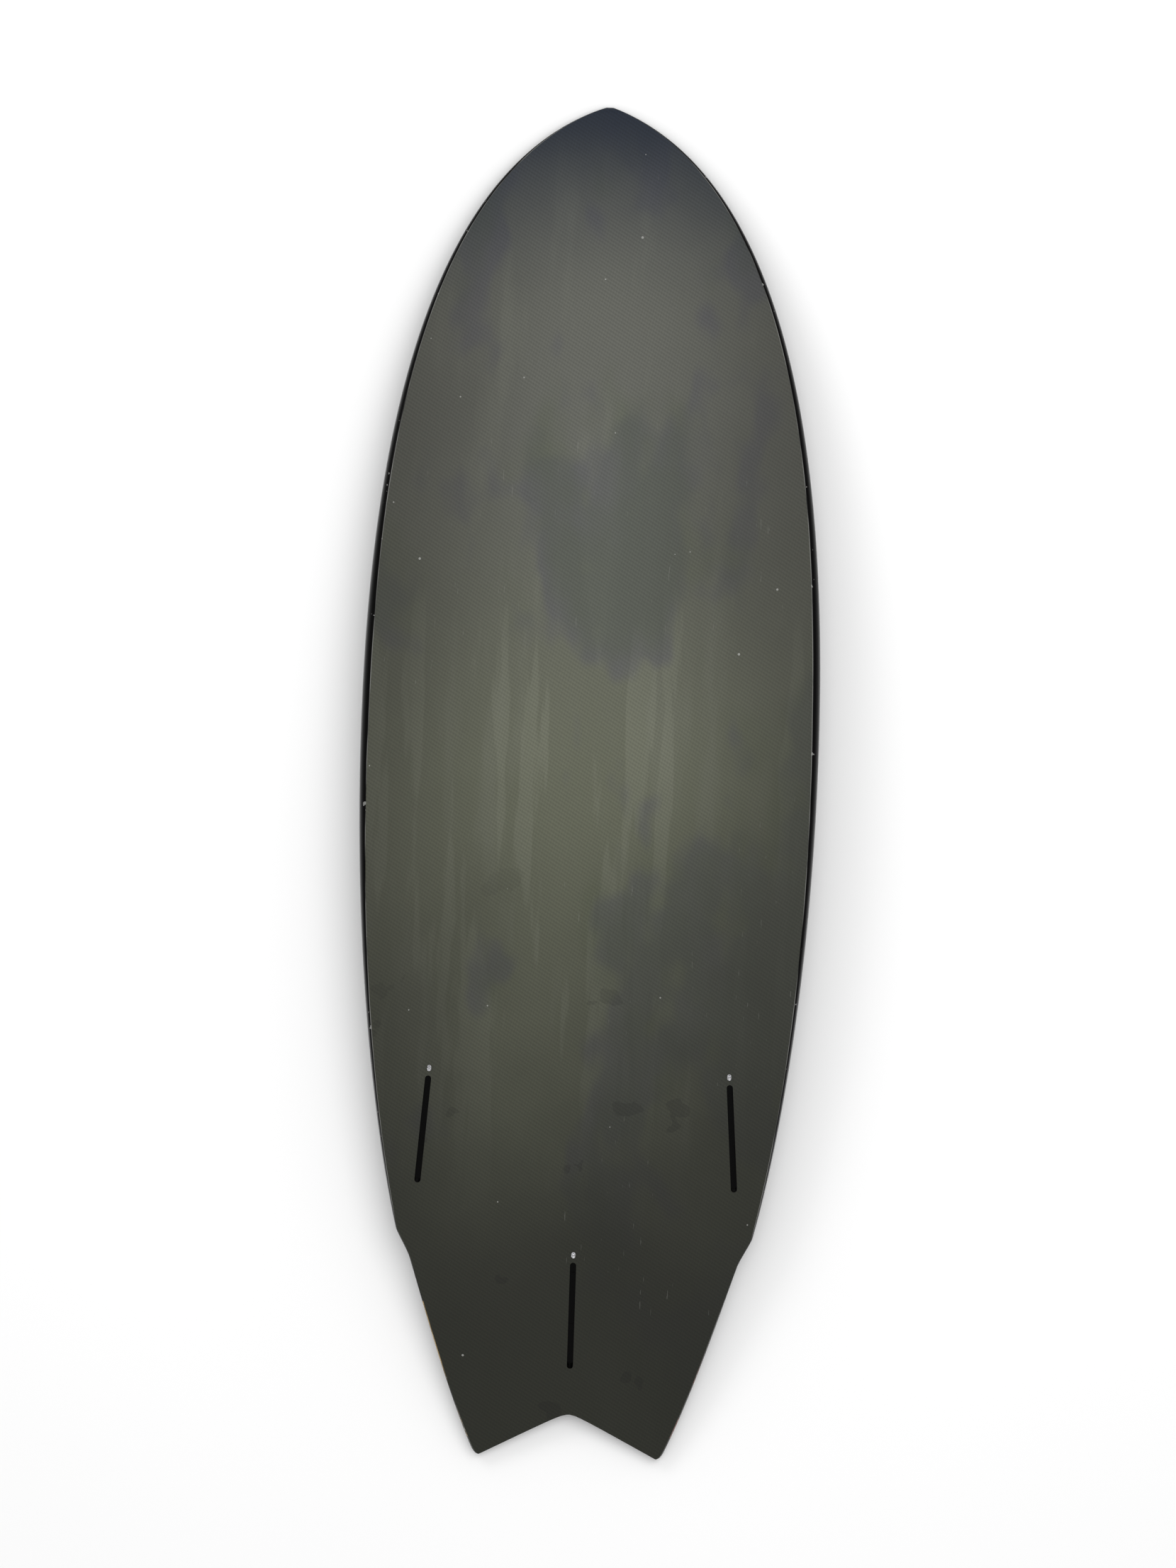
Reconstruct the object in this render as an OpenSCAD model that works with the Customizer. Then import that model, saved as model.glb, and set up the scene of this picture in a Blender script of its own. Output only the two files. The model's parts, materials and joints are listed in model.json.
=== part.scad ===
// Shortboard: foam core on a thin stringer, carbon skins and rails, winged swallow
// tail, three single-slot fin boxes with angled set screws, leash plug and vent.
// Lies deck down. +Y nose, +Z out of the bottom (fin side), +X right seen from
// the bottom with the nose up. Millimetres.

/* [Board] */
// Overall length
board_length = 1448; // [1300:1:1700]
// Widest width
board_width = 488; // [430:1:560]
// Thickness at the middle
board_thickness = 48; // [40:0.5:62]
// Rise of the nose above the lowest point of the rocker
nose_rocker = 67; // [40:1:110]
// Rise of the tail above the lowest point of the rocker
tail_rocker = 61; // [30:1:80]
// Depth of the concave along the bottom
concave = 2; // [0:0.1:4]
// Width between the tail tips
tail_width = 190; // [150:1:230]
// Depth of the swallow notch
notch_depth = 46; // [20:1:80]
// Step of the wing on each side
wing_step = 7; // [3:0.5:12]

/* [Laminate] */
// Thickness of the skin where it wraps the rails
skin = 1; // [0.8:0.1:2]
// Thickness of the stringer
stringer_width = 3; // [2:0.5:6]

/* [Fin boxes] */
// Length of the slot
slot_length = 115.5; // [100:0.5:130]
// Width of the slot
slot_width = 6.6; // [6.2:0.1:8]
// Depth of the slot
slot_depth = 13; // [10:0.5:15]
// Distance of the side slots from the centre line
side_box_x = 164.6; // [140:0.5:175]
// Distance of the side slots from the tail tips
side_box_from_tail = 349; // [300:1:400]
// Toe-in of the side slots in degrees
toe_in = 4.3; // [0:0.1:6]
// Distance of the centre slot from the tail tips
centre_box_from_tail = 153.3; // [150:1:200]

/* [Set screws] */
// Outside diameter of the set screws
screw_diameter = 4.82; // [4:0.01:5]
// Length of the set screws
screw_length = 9.5; // [8:0.5:11]
// Across flats of the hexagon socket
screw_socket = 2.38; // [2:0.01:2.5]
// Angle of the screws from the surface normal
screw_angle = 45; // [35:1:50]

/* [Deck fittings] */
// Outside diameter of the leash plug
leash_diameter = 29; // [25:0.5:34]
// Diameter of the leash bar
leash_bar_diameter = 3.6; // [3:0.1:5]
// Outside diameter of the vent
vent_diameter = 24; // [20:0.5:30]

/* [Hidden] */

L = board_length;
half = L/2;
kx = board_width/488;
kl = L/1448;
sw = stringer_width/2;
NB = 6;   // columns: 0..NB bottom, NB..NA lower rail, NA..ND deck
NA = 10;
ND = 20;
LAP = 13;

// outline: cubic pieces from nose to tail tip, [half width, distance from nose]
wing_a = [190.5*kx, 1207*kl];
wing_b = [190.5*kx - wing_step*2.07, 1235.5*kl];
tip_w = tail_width/2;
curve_nose = [[4, 0], [225*kx, 80*kl], [244*kx, 475*kl], [244*kx, 680*kl]];
curve_hip = [[244*kx, 680*kl], [244*kx, 971*kl], [203*kx, 1158*kl], wing_a];
curve_wing = [wing_a, wing_a + [-3.5, 8*kl], wing_b + [4, -9.5*kl], wing_b];
curve_tail = [wing_b, wing_b + [-11, 32*kl], [tip_w + 40, 1370*kl], [tip_w + 9.5, L - 10]];
curve_tip = [[tip_w + 9.5, L - 10], [tip_w + 6.8, L - 4], [tip_w + 4.5, L], [tip_w, L]];
function bez(c, t) = pow(1-t, 3)*c[0] + 3*t*pow(1-t, 2)*c[1] + 3*t*t*(1-t)*c[2] + t*t*t*c[3];
function dbez(c, t) = 3*pow(1-t, 2)*(c[1]-c[0]) + 6*t*(1-t)*(c[2]-c[1]) + 3*t*t*(c[3]-c[2]);
// [half width, s, outward normal across, outward normal along]
function stn(c, t) = let(p = bez(c, t), d = dbez(c, t), n = norm(d)) [p[0], p[1], d[1]/n, -d[0]/n];
ST = concat(
  [for (t = [0, 0.003, 0.008, 0.016, 0.028, 0.045, 0.07, 0.1, 0.135, 0.175, 0.22, 0.27,
    0.32, 0.38, 0.44, 0.5, 0.56, 0.62, 0.69, 0.76, 0.84, 0.92, 1]) stn(curve_nose, t)],
  [for (t = [0.12, 0.24, 0.36, 0.48, 0.58, 0.68, 0.78, 0.88, 1]) stn(curve_hip, t)],
  [for (t = [0.25, 0.5, 0.75, 1]) stn(curve_wing, t)],
  [for (t = [0.13, 0.26, 0.4, 0.54, 0.68, 0.82, 1]) stn(curve_tail, t)],
  [for (t = [0.5, 1]) stn(curve_tip, t)]);
NS = len(ST) - 1;

// profile along the board, from the height y ahead of the middle
function rock(y) = 77 - (y > 0 ? nose_rocker*pow(y/half, 2.3) : tail_rocker*pow(-y/half, 1.9));
function thick(y) = y > 0 ? 10 + (board_thickness-10)*(1 - pow(min(y, half)/half, 2.2))
  : 16 + (board_thickness-16)*(1 - pow(max(-half, y)/half, 2));
function cave(y) = concave*max(0, 1 - pow((y+50)/600, 2));
// width of the tucked edge of the bottom
function tuck(s) = let(u = s/kl)
  u < 70 ? 1.6 + 2.4*u/70 : u < 250 ? 4 + 2*(u-70)/180 : u < 550 ? 6 + 3*(u-250)/300
  : u < 650 ? 9 : u < 1150 ? 9 - 6*(u-650)/500 : max(1.6, 3 - 1.4*(u-1150)/80);
function nose_round(s) = s < 7 ? max(0.05, sqrt(1 - pow(1 - s/7, 2))) : 1;
// swallow notch: how far a station line is drawn forward at x
function hyp(x) = sqrt(x*x + 64);
function notch(x) = notch_depth*(1 - (hyp(min(abs(x), tip_w)) - hyp(sw))/(hyp(tip_w) - hyp(sw)));
function sweep(s) = s < L - 198 ? 0 : pow((s - L + 198)/198, 1.4);

U = [0, 0.2, 0.4, 0.6, 0.78, 0.91, 1];
function colx(W, e, k) = k <= NB ? sw + (W - e - sw)*U[k]
  : k <= NA ? W - e + e*sin(90*(k-NB)/(NA-NB))
  : let(m = (k-NA)/(ND-NA)) bez([W, W, 0.45*W, sw], m);
// height of a column in its section, 0 at the bottom edge, a to the apex, t to the deck
function colz(W, e, a, t, c, k) = k <= NB ? -c*(1 - pow(colx(W, e, k)/(W - e), 2))
  : k <= NA ? -a + a*cos(90*(k-NB)/(NA-NB))
  : let(m = (k-NA)/(ND-NA)) bez([-a, -a - 0.75*(t-a), -t, -t], m);
function raw(st, o, k) =
  let(W = st[0] - o*skin*st[2], S = st[1] - o*skin*st[3], e = tuck(st[1]),
      x = colx(W, e, k), s = S - sweep(st[1])*notch(x), y = half - s,
      t = thick(y), a = 0.4*t, f = (o == 0 ? 1 : (t-2)/t)*nose_round(st[1]))
  [x, y, rock(y) - a + f*(colz(W, e, a, t, cave(y), k) + a)];
RAW = [for (st = ST) [for (k = [0:ND]) raw(st, 0, k)]];
// level the board so that its lowest points at nose and tail are both at 0
low_nose = min([for (j = [0:22]) for (k = [NA:ND]) RAW[j][k][2]]);
low_tail = min([for (j = [23:NS]) for (k = [NA:ND]) RAW[j][k][2]]);
y_nose = [for (j = [0:22]) for (k = [NA:ND]) if (RAW[j][k][2] == low_nose) RAW[j][k][1]][0];
y_tail = [for (j = [23:NS]) for (k = [NA:ND]) if (RAW[j][k][2] == low_tail) RAW[j][k][1]][0];
tilt = (low_nose - low_tail)/(y_nose - y_tail);
function level(y) = low_tail + tilt*(y - y_tail);
function lev(p) = [p[0], p[1], p[2] - level(p[1])];
GO = [for (r = RAW) [for (p = r) lev(p)]];
GI = [for (st = ST) [for (k = [0:ND]) lev(raw(st, 1, k))]];
function flip(p) = [-p[0], p[1], p[2]];
// rows of a grid from column lists: left columns (mirrored) then right columns
function pick(G, lc, rc, j0 = 0, j1 = NS) = [for (j = [j0:j1])
  concat([for (k = lc) flip(G[j][k])], [for (k = rc) G[j][k]])];
function seq(a, b) = a <= b ? [for (i = [a:b]) i] : [for (i = [0:a-b]) a - i];
function drop(G, h) = [for (r = G) [for (p = r) p + [0, 0, h]]];

// triangles of a quad a b c d; the diagonal runs a-c or b-d
function tri(a, b, c, d, ac) = ac ? [[a, b, c], [a, c, d]] : [[a, b, d], [b, c, d]];
function turn(F, r) = r ? [for (f = F) [f[2], f[1], f[0]]] : F;
// closed solid between two grids of equal size; share: last columns coincide
module shell(A, B, share = false, r = false) {
  nj = len(A); nk = len(A[0]); n = nj*nk;
  function ia(j, k) = j*nk + k;
  function ib(j, k) = share && k == nk-1 ? ia(j, k) : n + j*(share ? nk-1 : nk) + k;
  PB = share ? [for (R = B) for (k = [0:nk-2]) R[k]] : [for (R = B) for (p = R) p];
  FA = [for (j = [0:nj-2]) for (k = [0:nk-2])
    each tri(ia(j, k), ia(j, k+1), ia(j+1, k+1), ia(j+1, k), abs(A[j][k][0]) <= abs(A[j][k+1][0]))];
  FB = [for (j = [0:nj-2]) for (k = [0:nk-2])
    each turn(tri(ib(j, k), ib(j, k+1), ib(j+1, k+1), ib(j+1, k), abs(B[j][k][0]) <= abs(B[j][k+1][0])), true)];
  FL = [for (j = [0:nj-2]) each tri(ia(j, 0), ia(j+1, 0), ib(j+1, 0), ib(j, 0), true)];
  FR = share ? [] : [for (j = [0:nj-2])
    each turn(tri(ia(j, nk-1), ia(j+1, nk-1), ib(j+1, nk-1), ib(j, nk-1), true), true)];
  FE = [for (e = [0, 1]) let(j = e*(nj-1)) for (k = [0:nk-2])
    each turn(share && k == nk-2 ? [[ia(j, k), ib(j, k), ia(j, k+1)]]
      : [for (f = tri(ia(j, k), ib(j, k), ib(j, k+1), ia(j, k+1), abs(A[j][k][0]) <= abs(A[j][k+1][0]) ? false : true)) f],
      e == 1)];
  polyhedron(concat([for (R = A) for (p = R) p], PB), turn(concat(FA, FB, FL, FR, FE), r), convexity = 8);
}

// ---- fin boxes -------------------------------------------------------------
side_y = side_box_from_tail - half;
centre_y = centre_box_from_tail - half;
function surf(x, y) = let(s = half - y, j = max([for (i = [0:NS]) if (ST[i][1] <= s) i]),
  w = ST[j][0] + (ST[j+1][0] - ST[j][0])*(s - ST[j][1])/(ST[j+1][1] - ST[j][1]))
  rock(y) - cave(y)*(1 - pow(x/(w - tuck(s)), 2)) - level(y);
function slope(y) = atan((surf(0, y+5) - surf(0, y-5))/10);
module at_side() translate([side_box_x, side_y, surf(side_box_x, side_y)])
  rotate([0, 0, toe_in]) rotate([slope(side_y), 0, 0]) children();
module at_centre() translate([0, centre_y, surf(0, centre_y)])
  rotate([slope(centre_y), 0, 0]) children();
hs = slot_length/2;
screw_y = hs + 8.5;
module rounded(w, y0, y1, z0, z1) {
  translate([-w/2, y0 + w/2, z0]) cube([w, y1 - y0 - w, z1 - z0]);
  for (y = [y0 + w/2, y1 - w/2]) translate([0, y, z0]) cylinder(d = w, h = z1 - z0, $fn = 48);
}
// what shows through the bottom skin: the slot and the screw hole
module mouth() {
  rounded(slot_width, -hs, hs, -8, 8);
  at_screw() translate([0, 0, -9]) cylinder(d = screw_diameter + 0.16, h = 22, $fn = 32);
}
module body() {
  rounded(13.4, -hs - 4.2, hs + 18.2, -slot_depth - 5, 6);
  rounded(21, -hs - 8, hs + 22, -4.2, 6);
}
module at_screw() translate([0, screw_y, 0]) rotate([-screw_angle, 0, 0]) children();
module hollow() {
  rounded(slot_width, -hs, hs, -slot_depth + 1, 12);
  rounded(slot_width - 1.6, -hs + 0.8, -hs + 40, -slot_depth, 0);
  rounded(slot_width - 1.6, -hs + 46, hs - 0.8, -slot_depth, 0);
  translate([0, hs - 12, -slot_depth - 1.4]) cylinder(d = 3.6, h = 4, $fn = 32);
  translate([-slot_width/2, -hs + 2.5, -slot_depth + 4]) rotate([0, 90, 0])
    cylinder(d = 4, h = slot_width, $fn = 32);
  at_screw() translate([0, 0, -11]) cylinder(d = screw_diameter + 0.16, h = 24, $fn = 32);
}
function near(y0, y1) = [for (j = [0:NS]) if (half - ST[j][1] > y0 && half - ST[j][1] < y1) j];
module under(G, y, lc, rc) {
  n = near(y - 150, y + 170);
  A = pick(G, lc, rc, n[0], n[len(n)-1]);
  shell(A, drop(A, -30));
}
module side_box() difference() {
  intersection() { at_side() body(); under(GI, side_y, [], seq(2, NB)); }
  at_side() hollow();
}
module centre_box() difference() {
  intersection() { at_centre() body(); under(GI, centre_y, [2, 1, 0], [0, 1, 2]); }
  at_centre() hollow();
}
// set screw: ringed thread, cone point, hexagon socket; origin on the surface
module set_screw() {
  r = screw_diameter/2; p = 1.06; n = floor((screw_length - 1.6)/p);
  z1 = 2.2; z0 = z1 - screw_length;
  pts = concat([[0, z0], [1.2, z0], [r - 0.45, z0 + 0.8]],
    [for (i = [0:n-1]) each [[r - 0.45, z0 + 0.8 + i*p + 0.12], [r, z0 + 0.8 + i*p + 0.5],
      [r, z0 + 0.8 + i*p + 0.64], [r - 0.45, z0 + 0.8 + (i+1)*p]]],
    [[r - 0.3, z1], [0, z1]]);
  difference() {
    rotate_extrude($fn = 48) polygon(pts);
    translate([0, 0, z1 - 3]) cylinder(d = screw_socket/cos(30), h = 4, $fn = 6);
  }
}

// ---- deck fittings ---------------------------------------------------------
leash = [-30, -half + 112];
vent = [32, 150];
function deckz(x, y) = let(s = half - y, j = max([for (i = [0:NS]) if (ST[i][1] <= s) i]),
  g = GO[j], h = GO[min(NS, j+1)], q = (g[ND][1] - y)/(g[ND][1] - h[ND][1])) g[ND][2]*(1-q) + h[ND][2]*q;
leash_z = deckz(leash[0], leash[1]);
vent_z = deckz(vent[0], vent[1]);
module above(G, y, lc, rc) {
  n = near(y - 90, y + 90);
  A = pick(G, lc, rc, n[0], n[len(n)-1]);
  shell(A, drop(A, 30), r = true);
}
module deck_cup(c, z, d, h) translate([c[0], c[1], z - 6]) cylinder(d = d, h = h + 6, $fn = 64);
module cup_leash() difference() {
  intersection() {
    deck_cup(leash, leash_z, leash_diameter, 16.5);
    above(GO, leash[1], seq(LAP, ND), []);
  }
  translate([leash[0], leash[1], leash_z - 6]) cylinder(d = leash_diameter - 8, h = 18.5, $fn = 64);
  at_bar() cylinder(d = leash_bar_diameter, h = leash_diameter - 4, center = true, $fn = 32);
}
module at_bar() translate([leash[0], leash[1], leash_z + 6]) rotate([0, 90, 0]) children();
module vent_cup() difference() {
  intersection() {
    deck_cup(vent, vent_z, vent_diameter, 15);
    above(GO, vent[1], [], seq(ND, LAP));
  }
  translate([vent[0], vent[1], vent_z - 6]) cylinder(d = vent_diameter - 8, h = 10.2, $fn = 64);
  translate([vent[0], vent[1], vent_z]) cylinder(d = 8.2, h = 12.5, $fn = 48);
}
// vent screw: head in the recess, O-ring under it, ringed shank
module vent_plug() translate([vent[0], vent[1], vent_z]) difference() {
  rotate_extrude($fn = 64) polygon(concat([[0, 0.9], [6.4, 0.9], [7.2, 1.5], [7.2, 3.4], [4.6, 3.4], [4.6, 4.2], [3.5, 4.2]],
    [for (i = [0:4]) each [[3.5, 4.5 + i*1.25], [4, 4.9 + i*1.25], [4, 5.1 + i*1.25], [3.5, 5.5 + i*1.25]]],
    [[3.0, 11.6], [0, 11.6]]));
  translate([-4.6, -0.6, 0]) cube([9.2, 1.2, 2.1]);
  translate([0, 0, 6]) cylinder(d = 2.4, h = 8, $fn = 32);
}
module vent_ring() translate([vent[0], vent[1], vent_z + 3.8])
  rotate_extrude($fn = 64) translate([5.6, 0]) circle(r = 0.4, $fn = 32);

// ---- sub-parts -------------------------------------------------------------
module core() difference() {
  shell(pick(GI, [], seq(0, NA)), pick(GI, [], seq(ND, NA)), share = true);
  at_side() body();
  at_centre() body();
}
module foam_core_right() color([0.93, 0.93, 0.9]) difference() {
  core();
  deck_cup(vent, vent_z, vent_diameter, 15);
}
module foam_core_left() color([0.93, 0.93, 0.9]) difference() {
  mirror([1, 0, 0]) core();
  deck_cup(leash, leash_z, leash_diameter, 16.5);
}
module stringer() color([0.72, 0.56, 0.36]) difference() {
  translate([-sw, 0, 0]) rotate([90, 0, 90]) linear_extrude(2*sw)
    polygon(concat([for (j = [0:NS]) [GI[j][0][1], GI[j][0][2]]],
      [for (i = [0:NS]) [GI[NS-i][ND][1], GI[NS-i][ND][2]]]));
  at_centre() body();
}
module bottom_skin() color([0.17, 0.18, 0.16]) difference() {
  shell(pick(GO, seq(NB, 0), seq(0, NB)), pick(GI, seq(NB, 0), seq(0, NB)));
  at_side() mouth();
  mirror([1, 0, 0]) at_side() mouth();
  at_centre() mouth();
}
module deck_skin() color([0.17, 0.18, 0.17]) difference() {
  shell(pick(GO, seq(LAP, ND), seq(ND, LAP)), pick(GI, seq(LAP, ND), seq(ND, LAP)), r = true);
  deck_cup(leash, leash_z, leash_diameter, 16.5);
  deck_cup(vent, vent_z, vent_diameter, 15);
}
module rail() shell(pick(GO, [], seq(NB, LAP)), pick(GI, [], seq(NB, LAP)));
module right_rail() color([0.03, 0.03, 0.035]) rail();
module left_rail() color([0.03, 0.03, 0.035]) mirror([1, 0, 0]) rail();
module tail_notch_wrap() {
  O = GO[NS]; I = GI[NS]; n = 2*ND + 2;
  // loop: right columns 0..ND, then left columns ND..0
  function loop(R) = concat(R, [for (k = [0:ND]) flip(R[ND-k])]);
  function lf(k) = 2*ND + 1 - k;
  X = loop(O);
  side = [for (i = [0:n-1]) let(j = (i+1) % n)
    each tri(i, j, n+j, n+i, i == ND || i == n-1 ? true : abs(X[i][0]) <= abs(X[j][0]))];
  cap = concat(tri(0, lf(0), lf(ND), ND, true),
    [for (k = [0:NA-1]) each k == NA-1 ? [[k, ND-k, NA]] : tri(k, ND-k, ND-k-1, k+1, false)],
    [for (k = [0:NA-1]) each k == NA-1 ? [[lf(NA), lf(ND-k), lf(k)]] : tri(lf(k+1), lf(ND-k-1), lf(ND-k), lf(k), true)]);
  color([0.05, 0.05, 0.05]) polyhedron(concat(X, loop(I)), concat(turn(side, true), turn(cap, true),
    [for (f = cap) [f[0]+n, f[1]+n, f[2]+n]]), convexity = 6);
}
module right_fin_box() color([0.06, 0.06, 0.065]) side_box();
module left_fin_box() color([0.06, 0.06, 0.065]) mirror([1, 0, 0]) side_box();
module centre_fin_box() color([0.06, 0.06, 0.065]) centre_box();
module right_fin_screw() color([0.75, 0.75, 0.76]) at_side() at_screw() set_screw();
module left_fin_screw() color([0.75, 0.75, 0.76]) mirror([1, 0, 0]) at_side() at_screw() set_screw();
module centre_fin_screw() color([0.75, 0.75, 0.76]) at_centre() at_screw() set_screw();
module leash_plug_cup() color([0.06, 0.06, 0.065]) cup_leash();
module leash_plug_bar() color([0.75, 0.75, 0.76]) at_bar()
  cylinder(d = leash_bar_diameter, h = leash_diameter - 4, center = true, $fn = 32);
module vent_body() color([0.06, 0.06, 0.065]) vent_cup();
module vent_screw() color([0.2, 0.2, 0.2]) vent_plug();
module vent_o_ring() color([0.05, 0.05, 0.05]) vent_ring();

foam_core_left();
foam_core_right();
stringer();
bottom_skin();
deck_skin();
left_rail();
right_rail();
tail_notch_wrap();
left_fin_box();
centre_fin_box();
right_fin_box();
left_fin_screw();
centre_fin_screw();
right_fin_screw();
leash_plug_cup();
leash_plug_bar();
vent_body();
vent_screw();
vent_o_ring();
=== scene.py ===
"""Looks for a carbon shortboard with a winged swallow tail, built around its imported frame."""
import json
import math

import bmesh
import bpy
import numpy as np
from bpy.props import FloatProperty, FloatVectorProperty, PointerProperty
from mathutils import Matrix, Vector


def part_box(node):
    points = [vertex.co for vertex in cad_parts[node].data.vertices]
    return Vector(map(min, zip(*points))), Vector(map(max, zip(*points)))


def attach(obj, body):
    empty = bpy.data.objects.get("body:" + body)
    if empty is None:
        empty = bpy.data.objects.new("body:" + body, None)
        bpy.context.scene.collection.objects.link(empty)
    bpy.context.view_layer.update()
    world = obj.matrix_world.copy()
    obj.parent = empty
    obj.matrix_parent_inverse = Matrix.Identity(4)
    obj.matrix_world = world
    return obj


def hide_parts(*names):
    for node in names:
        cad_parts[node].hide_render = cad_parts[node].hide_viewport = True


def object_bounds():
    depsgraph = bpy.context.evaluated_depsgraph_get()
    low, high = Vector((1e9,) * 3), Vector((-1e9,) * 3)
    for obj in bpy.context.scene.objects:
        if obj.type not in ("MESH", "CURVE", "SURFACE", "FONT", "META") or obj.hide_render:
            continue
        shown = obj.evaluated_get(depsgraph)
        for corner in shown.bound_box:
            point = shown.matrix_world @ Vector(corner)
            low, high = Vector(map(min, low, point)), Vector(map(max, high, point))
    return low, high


bl_info = {
    "name": "Carbon shortboard",
    "version": (1, 0, 0),
    "blender": (4, 5, 0),
    "location": "View3D > Sidebar > Shortboard",
    "description": "Laminates, rails, fin screws and stage of a carbon shortboard",
    "category": "Object",
}

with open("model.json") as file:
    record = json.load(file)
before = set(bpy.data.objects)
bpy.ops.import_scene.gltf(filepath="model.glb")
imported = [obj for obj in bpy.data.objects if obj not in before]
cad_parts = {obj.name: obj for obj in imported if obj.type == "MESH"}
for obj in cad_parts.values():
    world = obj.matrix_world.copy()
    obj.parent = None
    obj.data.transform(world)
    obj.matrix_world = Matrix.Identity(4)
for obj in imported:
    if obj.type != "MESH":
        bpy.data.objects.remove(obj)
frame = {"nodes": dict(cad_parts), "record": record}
CAD_LOW, CAD_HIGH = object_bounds()
MM = 0.001
MOUNTS = {mount["name"]: mount for mount in frame["record"]["mounts"]}


def millimetres(metres):
    """A size or place of the frame, to a tenth of a millimetre."""
    return round(float(metres) / MM, 1)


def slot_place(mount, toe_in):
    """(across, along, toe-in in degrees) of a fin slot."""
    across, along, _ = MOUNTS[mount]["pos_m"]
    return millimetres(across), millimetres(along), toe_in


def round_fitting(node):
    """(across, along, diameter) of a round deck fitting."""
    low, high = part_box(node)
    return (millimetres((low[0] + high[0]) / 2), millimetres((low[1] + high[1]) / 2),
            millimetres(high[0] - low[0]))


# ---- the board, in millimetres: the same values as the frame's own shape ----
LENGTH = millimetres(CAD_HIGH[1] - CAD_LOW[1])
HALF = LENGTH / 2
HALF_WIDTH = millimetres(CAD_HIGH[0])
THICKNESS = 48.0
CORE_X = 1.5            # half the stringer
SKIN = 1.0
BOTTOM, APEX, CROWN, LAP = 6, 10, 20, 13   # columns of a half section
FLAT_HEIGHT = 77.0      # the bottom at the middle, before the board is levelled
NOSE_ROCKER, NOSE_BEND = 67.0, 2.3
TAIL_ROCKER, TAIL_BEND = 61.0, 1.9
NOSE_THICKNESS, NOSE_TAPER = 10.0, 2.2
TAIL_THICKNESS, TAIL_TAPER = 16.0, 2
CONCAVE, CONCAVE_MIDDLE, CONCAVE_REACH = 2, -50, 600
TUCK_PLACES = [0, 70, 250, 550, 650, 1150, 1230]    # distances from the nose
TUCK_WIDTHS = [1.6, 4, 6, 9, 9, 3, 1.6]             # width of the tucked edge there
NOSE_RADIUS = 7
LEAST_ROUNDING = 0.05   # share of the thickness left at the very tip
APEX_SHARE = 0.4        # depth of the rail's widest point, as a share of the thickness
SHOULDER, CROWN_PULL = 0.45, 0.75          # how full the deck's curve is
BOTTOM_SPREAD = [0, 0.2, 0.4, 0.6, 0.78, 0.91, 1]   # columns across the bottom
TIP_X = 95.0            # half the width between the tail tips
NOTCH_DEPTH = 46.0
NOTCH_REACH = 198       # how far ahead of the tips the station lines start to bend
NOTCH_BEND = 1.4
CROTCH = 8              # rounding of the notch where its sides meet
WING_STEP = 14.49       # how far the outline steps in at a wing

# ---- slots, screws and deck fittings, in millimetres ------------------------
SLOT_LENGTH, SLOT_WIDTH = MOUNTS["centre_fin_slot"]["dims"]["slot_length_mm"], 6.6
SLOT_CUT = 8            # how far a slot's cutter reaches above and below the skin
SIDE_BOX = slot_place("right_fin_slot", 4.3)
CENTRE_BOX = slot_place("centre_fin_slot", 0.0)
BOXES = [("left", SIDE_BOX, -1), ("centre", CENTRE_BOX, 1), ("right", SIDE_BOX, 1)]
SLOPE_SPAN = 5          # the skin's slope at a box is taken this far to each side
SCREW_ANGLE = 45.0
SCREW_AHEAD = 8.5       # from the slot's end to the screw
SCREW_DIAMETER, SCREW_LENGTH, SCREW_PITCH = 4.82, 9.5, 1.06
SCREW_PROUD = 2.2       # top of a screw above the skin, along its axis
SCREW_BORE, SCREW_CUT = 4.98, (-9, 13)     # diameter, and how deep and how high its cutter reaches
THREAD_DEPTH, THREAD_RADIUS, THREAD_RUNOUT = 0.42, 0.40, 2.2
HEX_RADIUS, HEX_CUTTER = 1.374, 6          # half of the cutter's height is in the screw
LEASH, VENT = round_fitting("leash_plug_cup"), round_fitting("vent_body")
DECK_CUT = (-10, 60)    # heights between which the deck is cut through
SMOOTH_ANGLE = 32       # edges sharper than this stay sharp, in degrees

# ---- finishes: tones and grain that the materials share ---------------------
UPPER_TWILL = (0.092, 0.094, 0.080, 1)
STREAKED = (0.150, 0.155, 0.125, 1)
WIPED = (0.165, 0.172, 0.130, 1)
PURPLE_CAST = (0.064, 0.063, 0.080, 1)
GREEN_CAST = (0.052, 0.066, 0.032, 1)
SHADED_EDGE = (0.014, 0.014, 0.009, 1)
SMUDGED = (0.004, 0.004, 0.003, 1)
SPECKED = (0.42, 0.42, 0.40, 1)
SCRATCHED = (0.24, 0.24, 0.22, 1)
# reddish fringe painted along the right rail's edge at the tail
RED_EDGE_FRINGE = (0.20, 0.06, 0.04, 1)
NICKED = (0.45, 0.45, 0.43, 1)
# painted highlight along the rail's edge where it meets the bottom
EDGE_HIGHLIGHT = (0.40, 0.40, 0.38, 1)
PLY_DARK, PLY_LIGHT = (0.42, 0.27, 0.13, 1), (0.62, 0.44, 0.25, 1)
PALE, PALER = (0.93, 0.93, 0.93, 1), (0.95, 0.95, 0.95, 1)
TOW_PERIOD, CROSS_PERIOD = 0.0042, 0.0030  # of the twill, in metres
RELIEF = 0.0002         # depth of every fine bump, in metres
LEFT_REFLECTION_SPAN, RIGHT_FRINGE_SPAN = (-0.705, -0.560), (-0.700, -0.600)   # stretches of the rails with the painted tan reflection (left) and the painted reddish fringe (right)

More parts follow.
